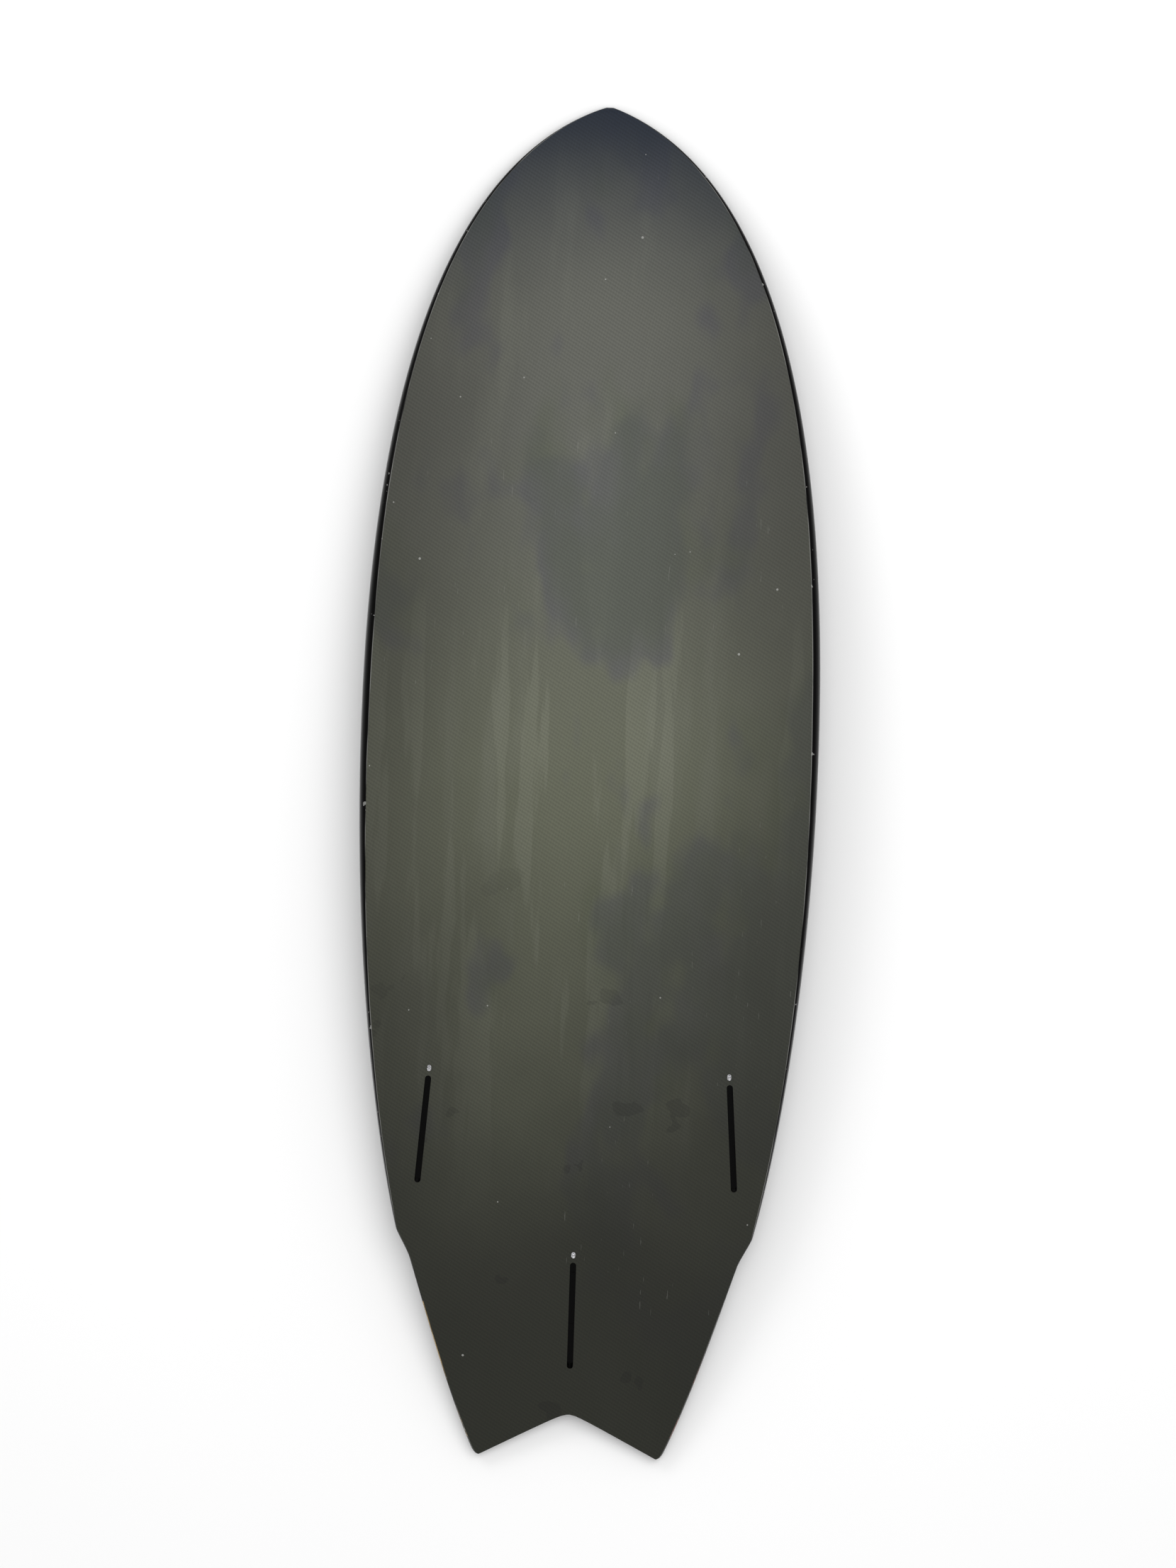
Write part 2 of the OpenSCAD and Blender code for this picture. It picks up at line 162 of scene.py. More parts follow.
# ---- stage, in metres -------------------------------------------------------
FLOOR_SIZE, FLOOR_CELLS = 8, 8
ROOM_LIGHT = 0.75
LIGHTS = (("overhead", (1.4, 2.4), (0.6, 0.4, 2.6), 26),     # size, place, power
          ("nose_side", (1.6, 1.0), (-1.8, 1.6, 1.9), 16))
SENSOR, LENS = 36.0, 129.5                 # millimetres
VIEW_PLACE, VIEW_TURN = (-0.0005, -0.0023), 1.83


# ---- sizes and colours a user would change ---------------------------------
class ShortboardSizes(bpy.types.PropertyGroup):
    """Sizes of the pieces made here."""

    screw_diameter: FloatProperty(name="Screw diameter", description="Outside diameter of a set screw",
                                  default=SCREW_DIAMETER * MM, min=0.004, max=0.005, unit="LENGTH")
    screw_length: FloatProperty(name="Screw length", description="Length of a set screw",
                                default=SCREW_LENGTH * MM, min=0.008, max=0.011, unit="LENGTH")
    screw_pitch: FloatProperty(name="Thread pitch", description="Distance between two thread turns",
                               default=SCREW_PITCH * MM, min=0.0008, max=0.0015, unit="LENGTH")
    view_height: FloatProperty(name="View height", description="Camera height over the board",
                               default=6.06, min=1.0, max=9.0, unit="LENGTH")


class ShortboardFinish(bpy.types.PropertyGroup):
    """Colours of the pieces made here."""

    twill: FloatVectorProperty(name="Twill", description="Sanded carbon twill", subtype="COLOR",
                               size=4, default=(0.094, 0.100, 0.067, 1), min=0, max=1)
    twill_nose: FloatVectorProperty(name="Nose twill", description="Darker, bluish nose",
                                    subtype="COLOR", size=4, default=(0.005, 0.010, 0.021, 1), min=0, max=1)
    twill_tail: FloatVectorProperty(name="Tail twill", description="Darker tail", subtype="COLOR",
                                    size=4, default=(0.0085, 0.0090, 0.0055, 1), min=0, max=1)
    rail: FloatVectorProperty(name="Rail", description="Gloss black rail", subtype="COLOR",
                              size=4, default=(0.002, 0.002, 0.002, 1), min=0, max=1)
    # painted tan reflection along the left rail's edge at the tail
    tan_reflection: FloatVectorProperty(name="Tan reflection", description="Painted tan reflection along a rail edge",
                              subtype="COLOR", size=4, default=(0.35, 0.24, 0.10, 1), min=0, max=1)
    steel: FloatVectorProperty(name="Steel", description="Stainless screws", subtype="COLOR",
                               size=4, default=(0.78, 0.78, 0.80, 1), min=0, max=1)


# ---- shader maths ----------------------------------------------------------
class Value:
    """A number socket that adds Math nodes when it is used in an expression."""

    def __init__(self, recipe, socket):
        self.recipe, self.socket = recipe, socket

    def _math(self, operation, first, second=None):
        """One Math node; a second value is left out where the operation takes only one."""
        values = {0: first}
        if second is not None:
            values[1] = second
        return self.recipe.node("ShaderNodeMath", {"operation": operation}, values).out()

    def __add__(self, other):
        return self._math("ADD", self, other)

    __radd__ = __add__

    def __sub__(self, other):
        return self._math("SUBTRACT", self, other)

    def __rsub__(self, other):
        return self._math("SUBTRACT", other, self)

    def __mul__(self, other):
        return self._math("MULTIPLY", self, other)

    __rmul__ = __mul__

    def __gt__(self, other):
        return self._math("GREATER_THAN", self, other)

    def __lt__(self, other):
        return self._math("LESS_THAN", self, other)

    def sin(self):
        return self._math("SINE", self)

    def abs(self):
        return self._math("ABSOLUTE", self)

    def clamp(self, low=0.0, high=1.0):
        return self._math("MINIMUM", self._math("MAXIMUM", self, low), high)

    def ramp(self, low, high):
        """0 at low, 1 at high, smooth between."""
        return self.recipe.node("ShaderNodeMapRange", {"interpolation_type": "SMOOTHSTEP"},
                                {0: self, 1: low, 2: high, 3: 0.0, 4: 1.0}).out()


class Node:
    """A shader node with its outputs."""

    def __init__(self, recipe, node):
        self.recipe, self.node = recipe, node

    def out(self, key=0):
        return Value(self.recipe, self.node.outputs[key])


class Recipe:
    """A material in the making."""

    def __init__(self, name):
        self.material = bpy.data.materials.new(name)
        self.material.use_nodes = True
        self.tree = self.material.node_tree
        self.tree.nodes.clear()
        self.coordinates = self.node("ShaderNodeTexCoord").out("Object")
        split = self.node("ShaderNodeSeparateXYZ", None, {0: self.coordinates})
        self.x, self.y, self.z = split.out(0), split.out(1), split.out(2)

    def node(self, kind, settings=None, values=None):
        """Any node: its settings first, then the values or links of its sockets."""
        node = self.tree.nodes.new(kind)
        for key, setting in (settings or {}).items():
            setattr(node, key, setting)
        for key, value in (values or {}).items():
            socket = node.inputs[key]
            if isinstance(value, Value):
                self.tree.links.new(value.socket, socket)
            else:
                socket.default_value = value
        return Node(self, node)

    def noise(self, scale, detail=3.0, stretch=None, rough=0.5):
        """Even noise over the piece, 0 to 1; stretch scales the axes first."""
        place = self.coordinates
        if stretch:
            place = self.node("ShaderNodeMapping", None, {"Vector": place, "Scale": stretch}).out()
        return self.node("ShaderNodeTexNoise", None,
                         {"Vector": place, "Scale": scale, "Detail": detail, "Roughness": rough}).out(0)

    def specks(self, scale, size, share):
        """1 in small round specks: size is in cells, share the part of the cells that have one."""
        cells = self.node("ShaderNodeTexVoronoi", None, {"Vector": self.coordinates, "Scale": scale})
        pick = self.node("ShaderNodeSeparateXYZ", None, {0: cells.out("Color")})
        return (cells.out("Distance") < size) * (pick.out(0) < share)

    def mix(self, factor, first, second):
        """Colour that goes from first to second as factor goes from 0 to 1."""
        sockets = {0: factor, 6: first, 7: second}
        return self.node("ShaderNodeMix", {"data_type": "RGBA"}, sockets).out(2)

    def bump(self, height, strength):
        return self.node("ShaderNodeBump", None,
                         {"Height": height, "Strength": strength, "Distance": RELIEF}).out()

    def finish(self, values):
        """The Principled shader with these sockets, as the whole material."""
        shader = self.node("ShaderNodeBsdfPrincipled", None, values)
        output = self.node("ShaderNodeOutputMaterial")
        self.tree.links.new(shader.node.outputs[0], output.node.inputs[0])
        return self.material


def colours():
    """The colours that a user would change."""
    return bpy.context.scene.shortboard_finish


def twill_weave(r):
    """Diagonal lines of a two-by-two twill: crossing tows, 1.5 to 2 mm wide."""
    diagonal = ((r.x * 0.62 + r.y) * (2 * math.pi / TOW_PERIOD)).sin()
    cross = ((r.x - r.y * 0.25) * (2 * math.pi / CROSS_PERIOD)).sin()
    return (diagonal * 0.7 + cross * 0.3) * 0.5 + 0.5


def sanded_twill(name="sanded_twill"):
    """Sanded carbon twill: darker and bluish at the nose, darker at the tail and edges."""
    c = colours()
    r = Recipe(name)
    blotch = r.noise(3.4, 5.0)
    patch = r.noise(7.0, 3.0, (1.0, 0.6, 1.0), 0.6)
    streak = r.noise(7.0, 5.0, (3.6, 0.55, 1.0))
    fine = r.noise(420.0, 2.0)
    weave = twill_weave(r)
    nose = (r.y + (blotch - 0.5) * 0.10 + r.x.abs() * 0.20).ramp(0.50, 0.75)
    tail = (r.y * -1 + (blotch - 0.5) * 0.30).ramp(-0.10, 0.58)
    edge = (r.x.abs() + (blotch - 0.5) * 0.12).ramp(0.02, 0.25)
    base = r.mix(r.y.ramp(-0.05, 0.40), tuple(c.twill), UPPER_TWILL)

    # uneven sanding: lighter streaks and wiped bands, and a faint cast of purple and green
    base = r.mix(streak.ramp(0.50, 0.72) * 0.26, base, STREAKED)
    band = r.noise(8.0, 4.0, (5.0, 0.45, 1.0)).ramp(0.53, 0.60)
    wiped = band * (1 - (r.y + 0.10).abs().ramp(0.16, 0.42))
    base = r.mix(wiped * 0.27, base, WIPED)
    base = r.mix(patch.ramp(0.52, 0.60) * 0.50, base, PURPLE_CAST)
    green = r.noise(5.5, 3.0, (1.3, 0.7, 1.0)).ramp(0.51, 0.66)
    base = r.mix(green * 0.38, base, GREEN_CAST)

    # the dark ends and edges, with smudges near the tail
    base = r.mix(edge * 0.66, base, SHADED_EDGE)
    base = r.mix(nose, base, tuple(c.twill_nose))
    base = r.mix(tail * 0.94, base, tuple(c.twill_tail))
    smudge = (r.noise(16.0, 3.0) > 0.66) * tail
    base = r.mix(smudge * 0.35, base, SMUDGED)
    shade = 0.76 + weave * 0.34 + fine * 0.16
    base = r.node("ShaderNodeVectorMath", {"operation": "SCALE"}, {0: base, 3: shade}).out()

    # pin holes, dust specks and a few short scratches
    white = (r.specks(26.0, 0.035, 0.16) + r.specks(60.0, 0.05, 0.07)).clamp()
    scratch = (r.noise(38.0, 2.0, (14.0, 1.0, 1.0)) > 0.745) * (r.noise(4.0, 1.0) > 0.54)
    base = r.mix(white * 0.5, base, SPECKED)
    base = r.mix(scratch * 0.18, base, SCRATCHED)
    rough = (0.40 + streak * 0.16 + blotch * 0.10).clamp(0.25, 0.75)
    return r.finish({"Base Color": base, "Roughness": rough, "IOR": 1.33,
                     "Normal": r.bump(weave * 0.6 + fine * 0.4, 0.12)})


def between(value, span):
    """1 where the value lies in the span."""
    return (value < span[1]) * (value > span[0])


def gloss_rail():
    """Gloss black, with a tan reflection painted along the left rail's edge and a reddish fringe painted
    along the right one at the tail, and a painted highlight line where it meets the bottom.
    """
    c = colours()
    r = Recipe("gloss_rail")
    from_edge = r.node("ShaderNodeAttribute", {"attribute_name": "from_edge"}).out("Fac")
    edge_patchiness = r.noise(26.0, 4.0)
    left = (r.x < 0.0) * between(r.y, LEFT_REFLECTION_SPAN)
    right = (r.x > 0.0) * between(r.y, RIGHT_FRINGE_SPAN)
    line = 1 - from_edge.ramp(0.0022, 0.0055)
    # painted tan reflection along the left rail's edge at the tail
    base = r.mix(line * left * edge_patchiness.ramp(0.38, 0.55), tuple(c.rail), tuple(c.tan_reflection))
    # reddish fringe painted along the right rail's edge at the tail
    base = r.mix(line * right * edge_patchiness.ramp(0.46, 0.60) * 0.7, base, RED_EDGE_FRINGE)
    nick = (r.noise(150.0, 2.0) > 0.70) * line
    base = r.mix(nick * 0.4, base, NICKED)
    # painted highlight: a thin bright line along the rail where it meets the bottom
    edge_highlight = (1 - from_edge.ramp(0.0002, 0.0009)) * r.noise(14.0, 3.0).ramp(0.30, 0.60)
    base = r.mix(edge_highlight * 0.5, base, EDGE_HIGHLIGHT)
    scuff = r.noise(60.0, 3.0, (1.0, 0.3, 1.0)).ramp(0.5, 0.8)
    rough = (0.07 + scuff * 0.12 + nick * 0.3).clamp()
    return r.finish({"Base Color": base, "Roughness": rough, "IOR": 1.12,
                     "Normal": r.bump(r.noise(180.0, 2.0), 0.03)})


def plain_finish(name, colour, rough, grain, metallic=0.0, depth=0.05, gloss=1.3):
    """A finish with a fine grain and a slow change of tone and gloss."""
    r = Recipe(name)
    fine = r.noise(grain, 3.0)
    slow = r.noise(grain / 12, 2.0)
    dark = tuple(v * 0.72 for v in colour[:3]) + (1,)
    base = r.mix((fine * 0.5 + slow * 0.5).ramp(0.35, 0.65), dark, tuple(colour[:3]) + (1,))
    return r.finish({"Base Color": base, "Roughness": (rough + (fine - 0.5) * 0.2).clamp(0.02, 1),
                     "Metallic": metallic, "IOR": gloss, "Normal": r.bump(fine, depth)})


def wood_finish():
    """Ply of the stringer, with its layers along the board."""
    r = Recipe("stringer_ply")
    rings = (r.z * 900 + r.noise(3.0, 3.0, (30.0, 1.0, 30.0)) * 9).sin() * 0.5 + 0.5
    base = r.mix(rings, PLY_DARK, PLY_LIGHT)
    return r.finish({"Base Color": base, "Roughness": 0.55 + rings * 0.15, "Normal": r.bump(rings, 0.1)})


# ---- the board's shape, in millimetres -------------------------------------
def cubic(curve, t):
    """Point at t on a cubic curve with four control points."""
    a, b, c, d = (np.array(p, float) for p in curve)
    return (1 - t) ** 3 * a + 3 * t * (1 - t) ** 2 * b + 3 * t * t * (1 - t) * c + t ** 3 * d


def cubic_slope(curve, t):
    """Direction of travel at t on the same curve."""
    a, b, c, d = (np.array(p, float) for p in curve)
    return 3 * (1 - t) ** 2 * (b - a) + 6 * t * (1 - t) * (c - b) + 3 * t * t * (d - c)


def beside(point, across, along):
    return point[0] + across, point[1] + along


# The outline from the nose to a tail tip, as [half width, distance from the nose]: each curve has
# its control points, where its stations lie along it, and the parts made between two stations.
WING_FRONT = (190.5, 1207.0)
WING_BACK = (WING_FRONT[0] - WING_STEP, 1235.5)
TAIL_END = (TIP_X + 9.5, LENGTH - 10)
CURVES = [
    ([(4, 0), (225, 80), (HALF_WIDTH, 475), (HALF_WIDTH, 680)],
     [0, 0.003, 0.008, 0.016, 0.028, 0.045, 0.07, 0.1, 0.135, 0.175, 0.22, 0.27,
      0.32, 0.38, 0.44, 0.5, 0.56, 0.62, 0.69, 0.76, 0.84, 0.92, 1], 5),
    ([(HALF_WIDTH, 680), (HALF_WIDTH, 971), (203, 1158), WING_FRONT],
     [0, 0.12, 0.24, 0.36, 0.48, 0.58, 0.68, 0.78, 0.88, 1], 6),
    ([WING_FRONT, beside(WING_FRONT, -3.5, 8), beside(WING_BACK, 4, -9.5), WING_BACK],
     [0, 0.25, 0.5, 0.75, 1], 5),
    ([WING_BACK, beside(WING_BACK, -11, 32), (TIP_X + 40, 1370), TAIL_END],
     [0, 0.13, 0.26, 0.4, 0.54, 0.68, 0.82, 1], 6),
    ([TAIL_END, (TIP_X + 6.8, LENGTH - 4), (TIP_X + 4.5, LENGTH), (TIP_X, LENGTH)], [0, 0.5, 1], 5),
]


def station(curve, t):
    """(half width, distance from the nose, outward normal across, outward normal along)"""
    p, d = cubic(curve, t), cubic_slope(curve, t)
    return p[0], p[1], d[1] / np.hypot(*d), -d[0] / np.hypot(*d)


def stations():
    """Every station line, from the nose to the tail tips."""
    rows = []
    for curve, stops, parts in CURVES:
        for a, b in zip(stops, stops[1:]):
            rows += [station(curve, a + (b - a) * i / parts) for i in range(parts)]
    return rows + [station(CURVES[-1][0], 1.0)]


def rock(y):
    """Height of the bottom at y ahead of the middle."""
    if y > 0:
        return FLAT_HEIGHT - NOSE_ROCKER * (y / HALF) ** NOSE_BEND
    return FLAT_HEIGHT - TAIL_ROCKER * (-y / HALF) ** TAIL_BEND


def thick(y):
    """Thickness of the board at y ahead of the middle."""
    if y > 0:
        fullness = 1 - (min(y, HALF) / HALF) ** NOSE_TAPER
        return NOSE_THICKNESS + (THICKNESS - NOSE_THICKNESS) * fullness
    fullness = 1 - (max(-HALF, y) / HALF) ** TAIL_TAPER
    return TAIL_THICKNESS + (THICKNESS - TAIL_THICKNESS) * fullness


def cave(y):
    """Depth of the bottom's concave at y."""
    return CONCAVE * max(0.0, 1 - ((y - CONCAVE_MIDDLE) / CONCAVE_REACH) ** 2)


def tuck(s):
    """Width of the tucked edge of the bottom at s from the nose."""
    return float(np.interp(s, TUCK_PLACES, TUCK_WIDTHS))


def nose_round(s):
    """Share of the thickness at s from the nose, where the tip is rounded."""
    if s >= NOSE_RADIUS:
        return 1.0
    return max(LEAST_ROUNDING, math.sqrt(1 - (1 - s / NOSE_RADIUS) ** 2))


def crotch(x):
    """x with its corner at the centre line rounded."""
    return math.sqrt(x * x + CROTCH * CROTCH)


def sweep(s, x):
    """How far a station line is drawn towards the nose at x, so that the last one is the notch."""
    if s < LENGTH - NOTCH_REACH:
        return 0.0
    notch = 1 - (crotch(min(abs(x), TIP_X)) - crotch(CORE_X)) / (crotch(TIP_X) - crotch(CORE_X))
    return NOTCH_DEPTH * notch * ((s - LENGTH + NOTCH_REACH) / NOTCH_REACH) ** NOTCH_BEND


def section_point(width, edge, apex, thickness, dip, k):
    """(x, height) of column k, which may be a fraction, in a half section."""
    if k <= BOTTOM:
        spread = float(np.interp(k, range(BOTTOM + 1), BOTTOM_SPREAD))
        x = CORE_X + (width - edge - CORE_X) * spread
        return x, -dip * (1 - (x / (width - edge)) ** 2)
    if k <= APEX:
        q = math.pi / 2 * (k - BOTTOM) / (APEX - BOTTOM)
        return width - edge + edge * math.sin(q), -apex + apex * math.cos(q)
    across = [(width, 0), (width, 0), (SHOULDER * width, 0), (CORE_X, 0)]
    down = [(-apex, 0), (-apex - CROWN_PULL * (thickness - apex), 0), (-thickness, 0), (-thickness, 0)]
    m = (k - APEX) / (CROWN - APEX)
    return float(cubic(across, m)[0]), float(cubic(down, m)[0])


def raw_point(row, inner, k):
    """Column k of a station, on the outer (0) or inner (1) face, before the board is levelled."""
    width, s = row[0] - inner * SKIN * row[2], row[1] - inner * SKIN * row[3]
    edge = tuck(row[1])
    x = section_point(width, edge, 1, 2, 0, k)[0]
    y = HALF - (s - sweep(row[1], x))
    thickness = thick(y)
    apex = APEX_SHARE * thickness
    inset = 1 if inner == 0 else (thickness - 2 * SKIN) / thickness
    height = section_point(width, edge, apex, thickness, cave(y), k)[1]
    return x, y, rock(y) - apex + inset * nose_round(row[1]) * (height + apex)


def level_terms():
    """The small tilt that puts the nose and the tail on the floor, as in the frame's own shape."""
    nose, tail = [], []
    for n, (curve, stops, _) in enumerate(CURVES):
        for t in stops if n == 0 else stops[1:]:
            for k in range(APEX, CROWN + 1):
                point = raw_point(station(curve, t), 0, k)
                (nose if n == 0 else tail).append((point[2], point[1]))
    low_nose, low_tail = min(nose), min(tail)
    tilt = (low_nose[0] - low_tail[0]) / (low_nose[1] - low_tail[1])
    return low_tail[0], low_tail[1], tilt


STATIONS = stations()
LOW_Z, LOW_Y, TILT = level_terms()


def level(y):
    """What levelling takes off a height at y."""
    return LOW_Z + TILT * (y - LOW_Y)


def board_point(row, inner, k):
    """Column k of a station where it lies on the finished board."""
    x, y, z = raw_point(row, inner, k)
    return x, y, z - level(y)


def grid(columns, inner):
    """Rows of points in metres, one row for each station; a column is (side, k)."""
    rows = []
    for row in STATIONS:
        points = [(side, board_point(row, inner, k)) for side, k in columns]
        rows.append([(side * p[0] * MM, p[1] * MM, p[2] * MM) for side, p in points])
    return rows


def smooth_columns(first, last, parts):
    """Columns from first to last, each split into parts."""
    step = 1 if last > first else -1
    out = [first + step * i / parts for i in range(abs(last - first) * parts)]
    return out + [last]


def add_object(name, mesh, material):
    """Puts a mesh with one material into the scene."""
    mesh.materials.clear()
    mesh.materials.append(material)
    obj = bpy.data.objects.new(name, mesh)
    bpy.context.scene.collection.objects.link(obj)
    return obj


def shell_object(name, columns, material, edge_distance=False):
    """A closed laminate between the outer and the inner grid of the same columns.

    With edge_distance its points carry their distance from the first column, as from_edge.
    """
    outer, inner = grid(columns, 0), grid(columns, 1)
    rows, cols = len(outer), len(columns)
    bm = bmesh.new()
    layer = bm.verts.layers.float.new("from_edge") if edge_distance else None
    sheets = []
    for sheet in (outer, inner):
        made = []
        for row in sheet:
            line = []
            run = 0.0
            for i, point in enumerate(row):
                v = bm.verts.new(point)
                if layer is not None:
                    if i:
                        run += (Vector(point) - Vector(row[i - 1])).length
                    v[layer] = run
                line.append(v)
            made.append(line)
        sheets.append(made)
    a, b = sheets    # outer and inner face
    for j in range(rows - 1):
        for k in range(cols - 1):
            bm.faces.new((a[j][k], a[j + 1][k], a[j + 1][k + 1], a[j][k + 1]))
            bm.faces.new((b[j][k], b[j][k + 1], b[j + 1][k + 1], b[j + 1][k]))
        for k in (0, cols - 1):
            bm.faces.new((a[j][k], b[j][k], b[j + 1][k], a[j + 1][k]))
    for j in (0, rows - 1):
        for k in range(cols - 1):
            bm.faces.new((a[j][k], a[j][k + 1], b[j][k + 1], b[j][k]))
    bmesh.ops.recalc_face_normals(bm, faces=bm.faces)
    mesh = bpy.data.meshes.new(name)
    bm.to_mesh(mesh)
    bm.free()
    return add_object(name, mesh, material)


def smooth_shade(obj):
    """Smooth shading, with the real edges kept sharp."""
    for polygon in obj.data.polygons:
        polygon.use_smooth = True
    obj.data.set_sharp_from_angle(angle=math.radians(SMOOTH_ANGLE))


def rounded_prism(width, y0, y1, z0, z1, place, steps=24):
    """A cutter with round ends that runs along z, sized in millimetres and placed by a matrix."""
    r = width / 2
    front, back = np.linspace(0, math.pi, steps), np.linspace(math.pi, 2 * math.pi, steps)
    ring = [(r * math.cos(q), y1 - r + r * math.sin(q)) for q in front]
    ring += [(r * math.cos(q), y0 + r + r * math.sin(q)) for q in back]
    bm = bmesh.new()
    low = [bm.verts.new(place @ Vector((x, y, z0))) for x, y in ring]
    high = [bm.verts.new(place @ Vector((x, y, z1))) for x, y in ring]
    for i in range(len(ring)):
        j = (i + 1) % len(ring)
        bm.faces.new((low[i], low[j], high[j], high[i]))
    bm.faces.new(low[::-1])
    bm.faces.new(high)
    bmesh.ops.recalc_face_normals(bm, faces=bm.faces)
    mesh = bpy.data.meshes.new("cutter")
    bm.to_mesh(mesh)
    bm.free()
    for vertex in mesh.vertices:
        vertex.co *= MM
    obj = bpy.data.objects.new("cutter", mesh)
    bpy.context.scene.collection.objects.link(obj)
    return obj


def drill(obj, cutters):
    """Cuts the cutters out of obj and removes them."""
    for cutter in cutters:
        modifier = obj.modifiers.new("hole", "BOOLEAN")
        modifier.operation, modifier.object, modifier.solver = "DIFFERENCE", cutter, "EXACT"
        graph = bpy.context.evaluated_depsgraph_get()
        mesh = bpy.data.meshes.new_from_object(obj.evaluated_get(graph))
        obj.modifiers.remove(modifier)
        old = obj.data
        obj.data = mesh
        bpy.data.meshes.remove(old)
        bpy.data.objects.remove(cutter)


def surface_height(x, y):
    """Height of the bottom at a point away from the edges."""
    s = HALF - y
    width = float(np.interp(s, [r[1] for r in STATIONS], [r[0] for r in STATIONS]))
    return rock(y) - cave(y) * (1 - (x / (width - tuck(s))) ** 2) - level(y)


def box_place(box, side=1):
    """Matrix from a fin box's own axes to the board's, in millimetres."""
    x, y, toe = box
    rise = surface_height(0, y + SLOPE_SPAN) - surface_height(0, y - SLOPE_SPAN)
    place = (Matrix.Translation((x, y, surface_height(x, y)))
             @ Matrix.Rotation(math.radians(toe), 4, "Z")
             @ Matrix.Rotation(math.atan(rise / (2 * SLOPE_SPAN)), 4, "X"))
    return Matrix.Diagonal((side, 1, 1, 1)) @ place


def screw_place(box, side=1):
    """Matrix from a screw's own axes, z along it, to the board's, in millimetres."""
    return (box_place(box, side) @ Matrix.Translation((0, SLOT_LENGTH / 2 + SCREW_AHEAD, 0))
            @ Matrix.Rotation(-math.radians(SCREW_ANGLE), 4, "X"))


# ---- operators: one for each piece or group of like pieces -----------------
class SHORTBOARD_OT_bottom(bpy.types.Operator):
    """Make the sanded bottom laminate with its fin slots"""

    bl_idname = "shortboard.bottom"
    bl_label = "Bottom laminate"

    def execute(self, context):
        half = smooth_columns(0, BOTTOM, 3)
        columns = [(-1, k) for k in half[::-1]] + [(1, k) for k in half]
        obj = shell_object("bottom_laminate", columns, sanded_twill())
        half_slot = SLOT_LENGTH / 2
        cutters = []
        for _, box, side in BOXES:
            cutters.append(rounded_prism(SLOT_WIDTH, -half_slot, half_slot, -SLOT_CUT, SLOT_CUT,
                                         box_place(box, side)))
            cutters.append(rounded_prism(SCREW_BORE, -SCREW_BORE / 2, SCREW_BORE / 2, *SCREW_CUT,
                                         screw_place(box, side)))
        drill(obj, cutters)
        smooth_shade(obj)
        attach(obj, "board")
        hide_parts("bottom_skin")
        return {"FINISHED"}


class SHORTBOARD_OT_deck(bpy.types.Operator):
    """Make the deck laminate with the leash plug and vent holes"""

    bl_idname = "shortboard.deck"
    bl_label = "Deck laminate"

    def execute(self, context):
        half = smooth_columns(LAP, CROWN, 3)
        columns = [(-1, k) for k in half] + [(1, k) for k in half[::-1]]
        obj = shell_object("deck_laminate", columns, sanded_twill("deck_twill"))
        cutters = [rounded_prism(d, y - d / 2, y + d / 2, *DECK_CUT, Matrix.Translation((x, 0, 0)), 48)
                   for x, y, d in (LEASH, VENT)]
        drill(obj, cutters)
        smooth_shade(obj)
        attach(obj, "board")
        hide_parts("deck_skin")
        return {"FINISHED"}


class SHORTBOARD_OT_rails(bpy.types.Operator):
    """Make the two gloss rails"""

    bl_idname = "shortboard.rails"
    bl_label = "Rails"

    def execute(self, context):
        material = gloss_rail()
        for name, side in (("left_rail", -1), ("right_rail", 1)):
            columns = [(side, k) for k in smooth_columns(BOTTOM, LAP, 4)]
            obj = shell_object(name + "_laminate", columns, material, edge_distance=True)
            smooth_shade(obj)
            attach(obj, "board")
            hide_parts(name)
        return {"FINISHED"}


class SHORTBOARD_OT_notch(bpy.types.Operator):
    """Make the gloss wrap of the swallow notch"""

    bl_idname = "shortboard.notch"
    bl_label = "Notch wrap"

    def execute(self, context):
        by_bottom = smooth_columns(0, APEX, 3)
        by_deck = smooth_columns(CROWN, APEX, 3)
        bm = bmesh.new()
        sheets = []
        for inner in (0, 1):
            for line in (by_bottom, by_deck):
                columns = [(-1, k) for k in line[::-1]] + [(1, k) for k in line]
                made = []
                for side, k in columns:
                    x, y, z = board_point(STATIONS[-1], inner, k)
                    made.append(bm.verts.new((side * x * MM, y * MM, z * MM)))
                sheets.append(made)
        outer_bottom, outer_deck, inner_bottom, inner_deck = sheets
        for first, second in ((outer_bottom, outer_deck), (inner_deck, inner_bottom),
                              (inner_bottom, outer_bottom), (outer_deck, inner_deck)):
            for i in range(len(first) - 1):
                bm.faces.new((first[i], first[i + 1], second[i + 1], second[i]))
        bmesh.ops.remove_doubles(bm, verts=bm.verts, dist=1e-6)
        bmesh.ops.dissolve_degenerate(bm, edges=bm.edges, dist=1e-7)
        bmesh.ops.recalc_face_normals(bm, faces=bm.faces)
        mesh = bpy.data.meshes.new("notch_wrap")
        bm.to_mesh(mesh)
        bm.free()
        gloss = plain_finish("gloss_notch", (0.006, 0.006, 0.007), 0.14, 220.0)
        obj = add_object("notch_wrap", mesh, gloss)
        smooth_shade(obj)
        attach(obj, "board")
        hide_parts("tail_notch_wrap")
        return {"FINISHED"}


